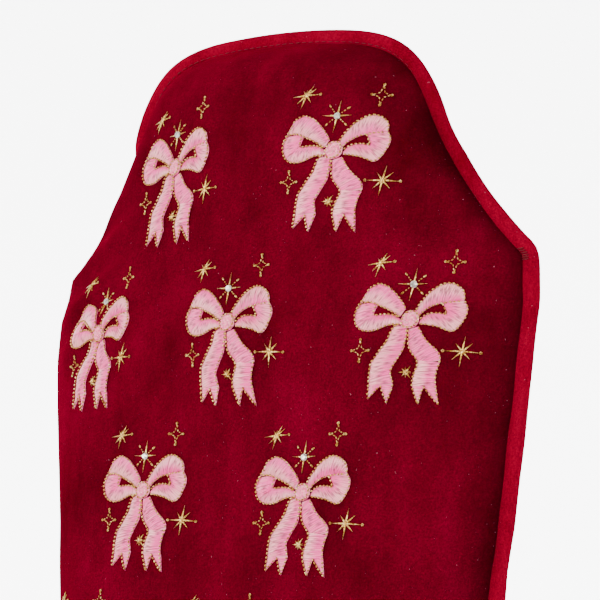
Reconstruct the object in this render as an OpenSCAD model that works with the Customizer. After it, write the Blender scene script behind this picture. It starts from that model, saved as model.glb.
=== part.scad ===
// Padded velvet gift bag for one wine bottle, with embroidered bows on the front.
// A front and a back cushion meet in a bound seam round a flat plane. Below the neck
// the seam is closed. Above it the neck is two free flaps that a magnetic snap holds shut.
// The solids hold the shape that the wadding gives, with the mouth closed.

/* [Bag] */
// Height from the base to the top of the binding
bag_height = 360; // [240:1:420]
// Half of the widest seam width, just under the shoulders
body_half = 110.4; // [80:0.1:150]
// Half of the seam width at the base
base_half = 88; // [70:0.1:150]
// Half of the seam width at the neck corners
neck_half = 70.3; // [40:0.1:90]
// Height where the shoulders start to narrow
shoulder_low = 266.8; // [180:0.1:280]
// Height where the neck is reached
shoulder_high = 335.7; // [290:0.1:380]
// Height of the line that the neck flaps fold on
fold_z = 272; // [230:1:300]
// How far the rounded neck corners drop below the arched top of the seam
corner_drop = 25.5; // [4:0.5:40]
// How far the top of the seam arches over its width
top_arch = 8; // [0:0.5:20]

/* [Cushions] */
// How far the front stands out from the seam
front_puff = 30; // [15:0.5:60]
// How far the front of the neck stands out from the seam
front_neck_puff = 21; // [8:0.5:40]
// How far the back stands out from the seam
back_puff = 62; // [15:0.5:80]
// How far the back of the neck stands out from the seam
back_neck_puff = 22; // [8:0.5:40]
// Distance over which the neck rolls in to its top edge
edge_roll = 9.9; // [4:0.1:30]

/* [Layers] */
// Velvet thickness, pile included
velvet_t = 1.2; // [0.6:0.1:2]
// Wadding thickness
wadding_t = 2; // [1:0.1:6]
// Satin lining thickness
lining_t = 0.5; // [0.3:0.1:1]
// Stiff board in the base
board_t = 2; // [1:0.1:4]

/* [Binding] */
// Width of the binding seen from the front
bind_w = 4; // [2:0.1:8]
// Thickness of the folded binding at the closed seam
bind_t = 4; // [2:0.1:8]

/* [Embroidery] */
// Width of one bow across its loops
bow_w = 42; // [25:0.5:60]
// Sideways distance from one bow to the next in a row
bow_gap = 75.5; // [50:0.5:100]
// Distance from one row of bows to the next
row_gap = 62.5; // [40:0.5:80]
// Height of the top row's knots
row_top_z = 306; // [250:0.5:340]
// Height of the stitching above the velvet
stitch_h = 0.7; // [0.3:0.1:1.5]
// How deep the stitching presses into the velvet
stitch_sink = 0.9; // [0.4:0.1:1.1]
// Width of the gold outline
gold_w = 1.2; // [0.6:0.1:2]

/* [Snap] */
// Diameter of the magnetic snap
snap_d = 9; // [6:0.5:16]

/* [Hidden] */
// Gap between parts that move against each other
gap = 0.2;
// The seam plane, set so that the bag is centred front to back
seam_y = -(back_puff - front_puff) / 2;
wall = velvet_t + wadding_t + lining_t;
seam_top = bag_height - bind_w;
corner_z = seam_top - corner_drop - top_arch;
base_t = velvet_t + board_t + lining_t;
snap_z = seam_top - 8.5;
// Grid of the cushion solids
cols = 18;
body_rows = 12;
flap_rows = 12;
row_z = [for (r = [0:4]) row_top_z - r * row_gap];

velvet = [0.5, 0.02, 0.12];
satin = [0.93, 0.55, 0.72];
gold = [0.82, 0.64, 0.34];

// --- Shape ---------------------------------------------------------------

// Smooth step from 0 to 1
function ease(t) = let (u = max(0, min(1, t))) u * u * (3 - 2 * u);

// Half of the seam width at a height
function half_w(z) =
  base_half + (body_half - base_half) * min(z, 250) / 250
  - (body_half - neck_half) * ease(pow(max(0, z - shoulder_low) / (shoulder_high - shoulder_low), 0.57));

// How far the middle of each cushion stands out
function front_h(z) = front_puff - (front_puff - front_neck_puff) * ease((z - 225) / 73);
function back_h(z) = back_puff - (back_puff - back_neck_puff) * ease((z - 266) / 80);

// Cross sections over s, from -1 at the left seam to 1 at the right seam
function front_c(s) = pow(max(0, 1 - pow(abs(s), 3.4)), 0.88);
function back_c(s) = max(0, 1 - s * s);

// Top of the seam over s, and the roll towards it
function top_z(s) = seam_top - top_arch * s * s - corner_drop * pow(abs(s), 7);
function roll(below) = 1 - exp(-max(0, below) / edge_roll);

// Columns crowd towards the seam, where the cushions turn fastest
function col_s(i) = sin(90 * (2 * i / cols - 1));

// A point of a body cushion, d below its outer face. side is -1 front, 1 back.
function body_pt(side, d, i, z) =
  let (s = col_s(i))
  let (h = side < 0 ? (front_h(z) - d) * front_c(s) : (back_h(z) - d) * back_c(s))
  [(half_w(z) - d) * s, seam_y + side * h, z];

// A point of a flap cushion. t runs from 0 at the fold to 1 at the top edge.
function flap_pt(side, d, i, t) =
  let (s = col_s(i))
  let (z0 = fold_z + gap)
  let (z_end = top_z(s) - d)
  let (z = z0 + t * (z_end - z0))
  let (z_side = z0 + t * (corner_z - d - z0))
  let (h = side < 0 ? (front_h(z) - d) * front_c(s) : (back_h(z) - d) * back_c(s))
  [(half_w(z_side) - d) * s, seam_y + side * (gap + h * roll(z_end - z)), z];

// Rows crowd towards the top edge
function flap_t(j) = sin(90 * j / flap_rows);

// Closed skin between two grids of the same size, outer first
module layer(outer, inner, rows, flip) {
  n = cols + 1;
  m = n * (rows + 1);
  quads = concat(
    [for (j = [0:rows - 1], i = [0:cols - 1])
      [j * n + i, j * n + i + 1, (j + 1) * n + i + 1, (j + 1) * n + i]],
    [for (j = [0:rows - 1], i = [0:cols - 1])
      [m + j * n + i, m + (j + 1) * n + i, m + (j + 1) * n + i + 1, m + j * n + i + 1]],
    [for (i = [0:cols - 1]) [i, m + i, m + i + 1, i + 1]],
    [for (i = [0:cols - 1])
      [rows * n + i, rows * n + i + 1, m + rows * n + i + 1, m + rows * n + i]],
    [for (j = [0:rows - 1]) [j * n, (j + 1) * n, m + (j + 1) * n, m + j * n]],
    [for (j = [0:rows - 1])
      [j * n + cols, m + j * n + cols, m + (j + 1) * n + cols, (j + 1) * n + cols]]);
  tris = [for (q = quads, k = [0, 1])
    k == 0 ? [q[0], q[1], q[2]] : [q[0], q[2], q[3]]];
  faces = flip ? [for (f = tris) [f[2], f[1], f[0]]] : tris;
  polyhedron(points = concat(outer, inner), faces = faces, convexity = 6);
}

module body_layer(side, d0, d1) {
  z0 = velvet_t;
  z1 = fold_z - gap;
  zs = [for (j = [0:body_rows]) z0 + (z1 - z0) * sin(90 * j / body_rows)];
  outer = [for (z = zs, i = [0:cols]) body_pt(side, d0, i, z)];
  inner = [for (z = zs, i = [0:cols]) body_pt(side, d1, i, z)];
  layer(outer, inner, body_rows, side < 0);
}

module flap_layer(side, d0, d1) {
  outer = [for (j = [0:flap_rows], i = [0:cols]) flap_pt(side, d0, i, flap_t(j))];
  inner = [for (j = [0:flap_rows], i = [0:cols]) flap_pt(side, d1, i, flap_t(j))];
  layer(outer, inner, flap_rows, side < 0);
}

// --- Cushions ------------------------------------------------------------

module front_panel() { color(velvet) body_layer(-1, 0, velvet_t); }
module front_wadding() { color("white") body_layer(-1, velvet_t, velvet_t + wadding_t); }
module front_lining() { color("wheat") body_layer(-1, velvet_t + wadding_t, wall); }
module back_panel() { color(velvet) body_layer(1, 0, velvet_t); }
module back_wadding() { color("white") body_layer(1, velvet_t, velvet_t + wadding_t); }
module back_lining() { color("wheat") body_layer(1, velvet_t + wadding_t, wall); }
module front_flap_panel() { color(velvet) flap_layer(-1, 0, velvet_t); }
module front_flap_wadding() { color("white") flap_layer(-1, velvet_t, velvet_t + wadding_t); }
module front_flap_lining() { color("wheat") flap_layer(-1, velvet_t + wadding_t, wall); }
module back_flap_panel() { color(velvet) flap_layer(1, 0, velvet_t); }
module back_flap_wadding() { color("white") flap_layer(1, velvet_t, velvet_t + wadding_t); }
module back_flap_lining() { color("wheat") flap_layer(1, velvet_t + wadding_t, wall); }

// --- Binding -------------------------------------------------------------

// Puts a drawing of the front view between two depths off the seam plane
module upright(y0, y1) {
  translate([0, seam_y + y1, 0])
    rotate([90, 0, 0])
      linear_extrude(height = y1 - y0)
        children();
}

function side_line(z0, z1, n) = [for (k = [0:n]) let (z = z0 + (z1 - z0) * k / n) [half_w(z), z]];
function turned(p) = [for (k = [len(p) - 1:-1:0]) p[k]];
function mirrored(p) = [for (q = p) [-q[0], q[1]]];

// Points moved sideways off a line, to its right
function beside(p, d) = [for (k = [0:len(p) - 1])
  let (a = p[max(0, k - 1)])
  let (b = p[min(len(p) - 1, k + 1)])
  let (t = (b - a) / norm(b - a))
  p[k] + d * [t[1], -t[0]]];

module side_strip() {
  p = side_line(0, fold_z - gap, 24);
  polygon(concat(p, turned([for (q = p) [q[0] + bind_w, q[1]]])));
}

// Half of the seam line of a flap, from the fold up and over to the middle
function flap_line() = concat(
  side_line(fold_z + gap, corner_z, 10),
  [for (k = [1:12]) let (s = cos(90 * k / 12)) [half_w(corner_z) * s, top_z(s)]]);

module flap_strip() {
  p = flap_line();
  q = beside(p, bind_w);
  inner = concat(p, turned(mirrored(p)));
  outer = concat([[p[0][0] + bind_w, p[0][1]]], [for (k = [1:len(q) - 1]) q[k]]);
  both = concat(outer, turned(mirrored(outer)));
  polygon(concat(both, turned(inner)));
}

module left_binding() {
  color(velvet) mirror([1, 0, 0]) upright(-bind_t / 2, bind_t / 2) side_strip();
}
module right_binding() {
  color(velvet) upright(-bind_t / 2, bind_t / 2) side_strip();
}
module front_flap_binding() { color(velvet) upright(-bind_t / 2, -gap) flap_strip(); }
module back_flap_binding() { color(velvet) upright(gap, bind_t / 2) flap_strip(); }

// Close stitches that stop the seam from tearing below the flaps
module tack() {
  for (k = [0:3])
    translate([half_w(fold_z) - 2.5, seam_y - bind_t / 2 - 0.6, fold_z - 9 + 2 * k])
      cube([5.5, 1, 1.1]);
}
module right_bar_tack() { color(gold) tack(); }
module left_bar_tack() { color(gold) mirror([1, 0, 0]) tack(); }

// --- Base ----------------------------------------------------------------

// Outline of the base, d outside the panels
module foot(d) {
  f = [for (i = [0:2 * cols]) let (s = sin(90 * (i / cols - 1)))
    [(base_half + d) * s, seam_y - (front_puff + d) * front_c(s)]];
  b = [for (i = [1:2 * cols - 1]) let (s = sin(90 * (1 - i / cols)))
    [(base_half + d) * s, seam_y + (back_puff + d) * back_c(s)]];
  polygon(concat(f, b));
}

module base_panel() { color(velvet) linear_extrude(height = velvet_t) foot(0); }
module base_board() {
  color("tan") translate([0, 0, velvet_t]) linear_extrude(height = board_t) foot(-wall - 0.5);
}
module base_lining() {
  color("wheat")
    translate([0, 0, velvet_t + board_t])
      linear_extrude(height = lining_t)
        foot(-wall - 0.5);
}
module base_binding() {
  color(velvet)
    linear_extrude(height = bind_w)
      difference() {
        foot(2);
        foot(0);
        translate([-base_half - 6, seam_y - bind_t / 2]) square([6.1, bind_t]);
        translate([base_half - 0.1, seam_y - bind_t / 2]) square([6.1, bind_t]);
      }
}

// --- Snap ----------------------------------------------------------------

module disc(y0, y1, d) {
  translate([0, seam_y + y1, snap_z])
    rotate([90, 0, 0])
      cylinder(d = d, h = y1 - y0, $fn = 48);
}
module snap_stud() {
  color("silver") union() {
    disc(-4.4, -gap - 0.8, snap_d);
    disc(-gap - 0.81, -gap, snap_d - 3);
  }
}
module snap_socket() {
  color("silver") difference() {
    disc(gap, 4.6, snap_d);
    disc(gap - 1, gap + 0.9, snap_d - 4);
  }
}
module stud_patch() { color("wheat") disc(-5.2, -4.4, snap_d + 4); }
module socket_patch() { color("wheat") disc(4.6, 5.4, snap_d + 4); }

// --- Embroidery ----------------------------------------------------------

// Depth of the front face at a place, and its slopes across and up
function face_y(x, z) =
  let (s = x / half_w(z))
  let (below = z > fold_z ? top_z(s) - z : 200)
  seam_y - front_h(z) * front_c(s) * roll(below) - (z > fold_z ? gap : 0);
function slope_x(x, z) = (face_y(x + 1, z) - face_y(x - 1, z)) / 2;
function slope_z(x, z) = (face_y(x, z + 8) - face_y(x, z - 8)) / 16;

module on_front(x, z) {
  translate([x, face_y(x, z), z])
    rotate([90 - atan(slope_z(x, z)), 0, atan(slope_x(x, z))])
      children();
}

// Shapes of one bow, in bow widths from the knot, +y up
left_loop = [[-0.07, 0.05], [-0.2, 0.2], [-0.343, 0.323], [-0.44, 0.28], [-0.52, 0.16],
  [-0.546, 0.06], [-0.5, -0.04], [-0.399, -0.095], [-0.25, -0.09], [-0.07, -0.04]];
left_eye = [[-0.12, 0.05], [-0.2, 0.105], [-0.28, 0.115], [-0.3, 0.085], [-0.26, 0.05],
  [-0.18, 0.035]];
right_loop = [[0.07, 0.05], [0.18, 0.2], [0.299, 0.324], [0.38, 0.28], [0.44, 0.18],
  [0.454, 0.104], [0.43, -0.02], [0.347, -0.089], [0.22, -0.08], [0.07, -0.04]];
right_eye = [[0.11, 0.05], [0.18, 0.1], [0.25, 0.11], [0.27, 0.08], [0.23, 0.045],
  [0.16, 0.035]];
left_tail = [[-0.07, -0.05], [-0.17, -0.16], [-0.27, -0.27], [-0.33, -0.37], [-0.31, -0.48],
  [-0.34, -0.6], [-0.361, -0.667], [-0.27, -0.58], [-0.197, -0.709], [-0.17, -0.6],
  [-0.12, -0.45], [-0.13, -0.33], [-0.09, -0.2], [-0.01, -0.08]];
right_tail = [[0.01, -0.08], [0.06, -0.18], [0.09, -0.3], [0.07, -0.42], [0.06, -0.56],
  [0.084, -0.709], [0.165, -0.61], [0.262, -0.705], [0.24, -0.58], [0.22, -0.47],
  [0.26, -0.36], [0.23, -0.24], [0.15, -0.14], [0.07, -0.05]];
knot = [[-0.075, 0.04], [-0.05, 0.07], [0.05, 0.07], [0.075, 0.04], [0.075, -0.04],
  [0.05, -0.07], [-0.05, -0.07], [-0.075, -0.04]];

function grown(p) = [for (q = p) q * bow_w];

// The bow's silhouette, d wider all round
module bow_shape(d) {
  offset(delta = d)
    difference() {
      union() {
        polygon(grown(left_loop));
        polygon(grown(right_loop));
        polygon(grown(left_tail));
        polygon(grown(right_tail));
        polygon(grown(knot));
      }
      polygon(grown(left_eye));
      polygon(grown(right_eye));
    }
}

module satin_bow(x, r) {
  color(satin)
    on_front(x, row_z[r])
      translate([0, 0, -stitch_sink])
        linear_extrude(height = stitch_sink + stitch_h)
          bow_shape(-gold_w / 2);
}

// Couched gold thread round the bow
module gold_edge(x, r) {
  color(gold)
    on_front(x, row_z[r])
      translate([0, 0, -stitch_sink])
        linear_extrude(height = stitch_sink + stitch_h + 0.2)
          difference() {
            bow_shape(gold_w / 2);
            bow_shape(-gold_w / 2);
          }
}

// Eight flat stitches round a point
module star(long, short) {
  for (k = [0:7])
    rotate(45 * k)
      translate([0, -0.45])
        square([(k % 2 == 0 ? long : short) * bow_w, 0.9]);
}

// Open four-point sparkle of running stitches
module sparkle() {
  for (k = [0:3])
    rotate(90 * k)
      translate([0, 0.1 * bow_w])
        for (a = [-24, 24])
          rotate(a)
            translate([-0.4, -0.065 * bow_w])
              square([0.8, 0.065 * bow_w]);
}

// Puts a small flat shape beside a bow, in bow widths from its knot
module beside_bow(x, r, right, up) {
  on_front(x + right * bow_w * 0.97, row_z[r] + up * bow_w)
    translate([0, 0, -stitch_sink])
      linear_extrude(height = stitch_sink + stitch_h)
        children();
}

module bow_stars(x, r) {
  color(gold) {
    beside_bow(x, r, -0.359, 0.506) star(0.14, 0.09);
    beside_bow(x, r, -0.04, 0.315) star(0.13, 0.1);
    beside_bow(x, r, 0.437, -0.256) star(0.16, 0.14);
    beside_bow(x, r, -0.039, -0.443) star(0.06, 0.05);
    beside_bow(x, r, 0.302, 0.514) sparkle();
    beside_bow(x, r, -0.457, -0.262) sparkle();
  }
}

module crystal(x, r) {
  color("white")
    on_front(x - 0.04 * bow_w, row_z[r] + 0.315 * bow_w)
      translate([0, 0, stitch_h - 0.1])
        cylinder(d = 3, h = 1.2, $fn = 8);
}

// Rows hold two bows and three bows in turn
module bow_1a() { satin_bow(-bow_gap / 2, 0); }
module bow_1b() { satin_bow(bow_gap / 2, 0); }
module bow_2a() { satin_bow(-bow_gap, 1); }
module bow_2b() { satin_bow(0, 1); }
module bow_2c() { satin_bow(bow_gap, 1); }
module bow_3a() { satin_bow(-bow_gap / 2, 2); }
module bow_3b() { satin_bow(bow_gap / 2, 2); }
module bow_4a() { satin_bow(-bow_gap, 3); }
module bow_4b() { satin_bow(0, 3); }
module bow_4c() { satin_bow(bow_gap, 3); }
module bow_5a() { satin_bow(-bow_gap / 2, 4); }
module bow_5b() { satin_bow(bow_gap / 2, 4); }

function row_x(r) = r % 2 == 0 ? [-bow_gap / 2, bow_gap / 2] : [-bow_gap, 0, bow_gap];
module gold_row(r) { for (x = row_x(r)) gold_edge(x, r); }
module stars_row(r) { for (x = row_x(r)) bow_stars(x, r); }
module crystals_row(r) { for (x = row_x(r)) crystal(x, r); }

front_panel();
front_wadding();
front_lining();
back_panel();
back_wadding();
back_lining();
left_binding();
right_binding();
base_panel();
base_board();
base_lining();
base_binding();
left_bar_tack();
right_bar_tack();
front_flap_panel();
front_flap_wadding();
front_flap_lining();
front_flap_binding();
back_flap_panel();
back_flap_wadding();
back_flap_lining();
back_flap_binding();
snap_stud();
snap_socket();
stud_patch();
socket_patch();
bow_1a();
bow_1b();
bow_2a();
bow_2b();
bow_2c();
bow_3a();
bow_3b();
bow_4a();
bow_4b();
bow_4c();
bow_5a();
bow_5b();
gold_row(0);  // gold_row_1
gold_row(1);  // gold_row_2
gold_row(2);  // gold_row_3
gold_row(3);  // gold_row_4
gold_row(4);  // gold_row_5
stars_row(0);  // stars_row_1
stars_row(1);  // stars_row_2
stars_row(2);  // stars_row_3
stars_row(3);  // stars_row_4
stars_row(4);  // stars_row_5
crystals_row(0);  // crystals_row_1
crystals_row(1);  // crystals_row_2
crystals_row(2);  // crystals_row_3
crystals_row(3);  // crystals_row_4
crystals_row(4);  // crystals_row_5
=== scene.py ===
"""Looks of a padded velvet gift bag for a wine bottle, embroidered with bows.

The shapes are functions of the place on the bag, in millimetres, in the CAD frame:
+Z up, the embroidered front towards -Y, the base on z = 0. Meshes are made in metres.
"""
import math

import bpy
import numpy as np
from mathutils import Matrix, Vector


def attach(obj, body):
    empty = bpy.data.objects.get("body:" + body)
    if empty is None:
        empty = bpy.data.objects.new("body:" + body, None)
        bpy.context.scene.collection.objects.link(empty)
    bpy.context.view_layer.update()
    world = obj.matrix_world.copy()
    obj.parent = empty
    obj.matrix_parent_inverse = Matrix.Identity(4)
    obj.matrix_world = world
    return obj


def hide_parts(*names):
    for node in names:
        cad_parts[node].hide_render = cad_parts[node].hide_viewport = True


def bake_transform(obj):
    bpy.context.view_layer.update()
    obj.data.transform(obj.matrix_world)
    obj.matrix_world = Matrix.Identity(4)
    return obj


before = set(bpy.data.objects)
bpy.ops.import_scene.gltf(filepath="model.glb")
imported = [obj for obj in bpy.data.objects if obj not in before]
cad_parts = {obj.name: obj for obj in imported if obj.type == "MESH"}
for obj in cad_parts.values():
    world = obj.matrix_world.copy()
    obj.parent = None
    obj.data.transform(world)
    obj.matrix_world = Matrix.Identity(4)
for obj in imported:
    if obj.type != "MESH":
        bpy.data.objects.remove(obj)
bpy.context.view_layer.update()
MM = 0.001
rng = np.random.default_rng(7)

# ---------------------------------------------------------------- sizes, in mm
HEIGHT = 360.0
BIND_W = 5.0
BIND_T = 4.0
BODY_HALF = 110.4
BASE_HALF = 88.0
NECK_HALF = 70.3
SHOULDER_LOW = 266.8
SHOULDER_HIGH = 335.7
FOLD_Z = 272.0
CORNER_DROP = 25.5
TOP_ARCH = 8.0
FRONT_PUFF = 30.0
FRONT_NECK_PUFF = 21.0
BACK_PUFF = 62.0
BACK_NECK_PUFF = 22.0
EDGE_ROLL = 9.9
VELVET_T = 1.2
WADDING_T = 2.0
LINING_T = 0.5
WALL = VELVET_T + WADDING_T + LINING_T
GAP = 0.2
SEAM_Y = -(BACK_PUFF - FRONT_PUFF) / 2
SEAM_TOP = HEIGHT - BIND_W
CORNER_Z = SEAM_TOP - CORNER_DROP - TOP_ARCH
BOW_W = 42.0
BOW_GAP = 76.2
ROW_GAP = 62.6
ROW_TOP_Z = 306.0


# ---------------------------------------------------------------- shape of the bag
def ease(t):
    """A smooth step from 0 to 1."""
    t = np.clip(t, 0, 1)
    return t * t * (3 - 2 * t)


def half_w(z):
    """Half of the seam width at a height."""
    t = np.maximum(0, z - SHOULDER_LOW) / (SHOULDER_HIGH - SHOULDER_LOW)
    body = BASE_HALF + (BODY_HALF - BASE_HALF) * np.minimum(z, 250) / 250
    return body - (BODY_HALF - NECK_HALF) * ease(t**0.57)


def front_h(z):
    """How far the front stands out in the middle at a height."""
    return FRONT_PUFF - (FRONT_PUFF - FRONT_NECK_PUFF) * ease((z - 225) / 73)


def back_h(z):
    """How far the back stands out in the middle at a height."""
    return BACK_PUFF - (BACK_PUFF - BACK_NECK_PUFF) * ease((z - 266) / 80)


# How far the slack bag's edge is drawn out from the pattern's line at each height, in mm.
# Set from how far the rendered edge lay from the photo's, as a comparing script gave it.
PULL_Z = [0, 155, 180, 215, 235, 250, 260, 270, 280, 295, 303, 312, 325, 345, 360]
PULL_RIGHT = [0, -3.4, -2.2, -0.4, 0.3, 1.2, 1.2, 1.0, 1.7, 2.0, 1.6, 0.2, -1.6, -2.0, 0]
PULL_LEFT = [0, 3.0, 2.5, 2.0, 1.0, -1.5, -5.0, -7.0, -5.5, -4.0, -3.0, -1.5, 0.0, 0.0, 0]


def edge_x(z, s):
    """How far the seam lies from the middle at a height, on the side s is on."""
    pull = np.where(s < 0, np.interp(z, PULL_Z, PULL_LEFT), np.interp(z, PULL_Z, PULL_RIGHT))
    return half_w(z) + pull


def rolled_over(z):
    """On the left the stuffing rolls over the edge, from just above the foot to the neck."""
    return ease((z - 15) / 60) * (1 - ease((z - 300) / 35))


def front_c(s, z=0.0):
    """The share of the front's puff left at s across the row."""
    power = 0.88 - 0.38 * rolled_over(z) * (s < 0)
    return np.maximum(0, 1 - np.abs(s) ** 3.4) ** power


def back_c(s):
    """The share of the back's puff left at s across the row."""
    return np.maximum(0, 1 - s * s)


def top_z(s):
    """Height of the seam along the mouth; the right corner droops a little."""
    droop = 1.6 * s * (1 - s**6)
    return SEAM_TOP - TOP_ARCH * s * s - CORNER_DROP * np.abs(s) ** 7 - droop


def roll(below):
    """How the puff rounds off towards the seam along the mouth."""
    return 1 - np.exp(-np.maximum(0, below) / EDGE_ROLL)


def lean(z):
    """How far the slack bag leans sideways at a height."""
    return 3.7 - 4.9 * (np.clip(z, 170, 360) - 230) / 100


def dent(x, z, x0, z0, wide, high):
    """A soft round bump of height 1 at x0, z0."""
    return np.exp(-(((x - x0) / wide) ** 2) - ((z - z0) / high) ** 2)


def front_folds(x, z):
    """How far the wadding's slack lifts the front, in mm."""
    d = 0.75 * np.sin(x / 12 + 0.9 * np.sin(z / 47)) * np.sin(z / 60 + 1)
    d += 0.35 * np.sin(x / 7 + z / 38 + 2)
    valley = ease((z - 180) / 50) * (1 - ease((z - 282) / 16))
    d += -1.5 * np.exp(-(((x - 80 + 0.06 * (270 - z)) / 7) ** 2)) * valley
    # the snap draws the middle of the mouth in
    d += -1.7 * dent(x, z, -2, 347, 7, 4)
    d += 1.4 * dent(x, z, -17, 344, 8, 8) + 1.2 * dent(x, z, 14, 344, 9, 8)
    d += -2.2 * dent(x, z, -3, 337, 5, 9)
    # slack folds by the left shoulder
    for k in range(4):
        slant = z - 0.5 * (x + 80)
        d += 1.5 * dent(x, slant, -84 + 3 * k, 292 - 17 * k, 17, 4.6)
        d += -1.2 * dent(x, slant, -82 + 3 * k, 284 - 17 * k, 17, 4.2)
    # where the right shoulder seam pulls
    d += -2.0 * dent(x, z, 84, 279, 8, 7)
    d += 0.9 * dent(x, z, 72, 268, 12, 8)
    d += -1.0 * dent(x, z, 60, 322, 7, 10)
    return d


def back_folds(x, z):
    """How far the wadding's slack lifts the back, in mm."""
    d = 0.7 * np.sin(x / 13 + 0.8 * np.sin(z / 41)) * np.sin(z / 52 + 2)
    d += -3.0 * dent(x, z, 2, 346, 8, 5)
    return d


def near_seam(s):
    """Folds die out towards the side seams."""
    return np.clip((1 - np.abs(s)) * 9, 0, 1)


def s_of(x, z):
    """How far across its row a place on the outer face lies, from -1 to 1."""
    s = np.clip(x / edge_x(np.minimum(z, CORNER_Z), x), -1, 1)
    up = z > FOLD_Z
    for _ in range(6):
        side = FOLD_Z + (z - FOLD_Z) * (CORNER_Z - FOLD_Z) / (top_z(s) - FOLD_Z)
        wide = edge_x(np.where(up, np.minimum(side, CORNER_Z), z), x)
        s = np.clip(x / wide, -1, 1)
    return s


def front_depth(x, z):
    """How far the front stands out from the seam plane."""
    s = s_of(x, z)
    rolled = roll(top_z(s) - z)
    return front_h(z) * front_c(s, z) * rolled + front_folds(x, z) * (near_seam(s) * rolled)


def find_place(u, z):
    """The point u mm along the cloth from the middle at height z, and the way out there."""
    x = np.zeros_like(u)
    steps, near = 14, 0.7
    for _ in range(steps):
        slope = front_depth(x + near, z) - front_depth(x - near, z)
        x = x + u / steps / np.sqrt(1 + np.clip(slope / (2 * near), -1.5, 1.5) ** 2)
    d = front_depth(x, z)
    dx = (front_depth(x + near, z) - front_depth(x - near, z)) / (2 * near)
    dz = (front_depth(x, z + near) - front_depth(x, z - near)) / (2 * near)
    n = np.stack([-dx, -np.ones_like(dx), -dz], -1)
    n /= np.linalg.norm(n, axis=-1, keepdims=True)
    return np.concatenate([np.stack([x + lean(z), SEAM_Y - d, z], -1), n], -1)


# The front is worked out once a millimetre, and places between are blended
U_LINE = np.arange(-140.0, 141.0)
Z_LINE = np.arange(0.0, HEIGHT - BIND_W)
PLACES = find_place(*np.meshgrid(U_LINE, Z_LINE, indexing="ij"))


def front_place(u, z, lift=0.0):
    """The point lift mm above the cloth, u mm along it from the middle at height z."""
    u, z = np.broadcast_arrays(np.asarray(u, float), np.asarray(z, float))
    u = np.clip(u - U_LINE[0], 0, len(U_LINE) - 1.01)
    z = np.clip(z - Z_LINE[0], 0, len(Z_LINE) - 1.01)
    i, j = u.astype(int), z.astype(int)
    a, b = (u - i)[..., None], (z - j)[..., None]
    low = PLACES[i, j] * (1 - a) + PLACES[i + 1, j] * a
    high = PLACES[i, j + 1] * (1 - a) + PLACES[i + 1, j + 1] * a
    both = low * (1 - b) + high * b
    return both[..., :3] + both[..., 3:] * np.asarray(lift)[..., None]


# ---------------------------------------------------------------- mesh helpers
def make(name, points, faces, material, smooth=True):
    """A mesh object from points in mm."""
    mesh = bpy.data.meshes.new(name)
    mesh.from_pydata((np.asarray(points, float) * MM).tolist(), [], faces)
    mesh.validate()
    mesh.update()
    if smooth:
        mesh.polygons.foreach_set("use_smooth", [True] * len(mesh.polygons))
    obj = bpy.data.objects.new(name, mesh)
    bpy.context.scene.collection.objects.link(obj)
    obj.data.materials.append(material)
    return obj


class Pile:
    """Gathers many small shapes into one mesh, with a value for each point."""

    def __init__(self):
        self.points, self.faces, self.tint, self.shade, self.count = [], [], [], [], 0

    def add(self, points, faces, tint=0.0, shade=0.0):
        points = np.asarray(points, float)
        self.points.append(points)
        self.faces += [tuple(self.count + i for i in f) for f in faces]
        self.tint.append(np.broadcast_to(np.asarray(tint, float), (len(points),)))
        self.shade.append(np.broadcast_to(np.asarray(shade, float), (len(points),)))
        self.count += len(points)

    def build(self, name, material):
        obj = make(name, np.concatenate(self.points), self.faces, material)
        for word, values in (("tint", self.tint), ("shade", self.shade)):
            layer = obj.data.attributes.new(word, "FLOAT", "POINT")
            layer.data.foreach_set("value", np.concatenate(values).astype(np.float32))
        return obj


def grid_faces(rows, cols, wrap=False):
    """Four-sided faces over rows of points; wrap joins the last column to the first."""
    last = cols if wrap else cols - 1
    return [
        (j * cols + i, j * cols + (i + 1) % cols, (j + 1) * cols + (i + 1) % cols, (j + 1) * cols + i)
        for j in range(rows - 1)
        for i in range(last)
    ]


def cushion_grid(side, d, cols, body_rows, flap_rows):
    """Rows of points of one layer, d mm below the outer face. side is -1 front, 1 back."""
    s = np.sin(np.linspace(-1, 1, cols) * math.pi / 2)
    rows = []
    for z in np.linspace(VELVET_T, FOLD_Z, body_rows):
        zz = np.full(cols, z)
        rows.append((edge_x(zz, s), zz, roll(np.full(cols, 200.0))))
    for t in np.sin(np.linspace(0, 1, flap_rows)[1:] * math.pi / 2):
        end = top_z(s) - d
        zz = FOLD_Z + t * (end - FOLD_Z)
        side_z = np.full(cols, FOLD_Z + t * (CORNER_Z - d - FOLD_Z))
        rows.append((edge_x(side_z, s), zz, roll(end - zz)))
    out = []
    for wide, z, rolled in rows:
        x = (wide - d) * s
        high, c, lift = (front_h, front_c, front_folds) if side < 0 else (back_h, back_c, back_folds)
        y = (high(z) - d) * (c(s, z) if side < 0 else c(s)) * rolled
        y = y + lift(x, z) * near_seam(s) * rolled
        y = np.maximum(y, 0) + GAP
        out.append(np.stack([x + lean(z), SEAM_Y + side * y, z], -1))
    return np.array(out)


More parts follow.
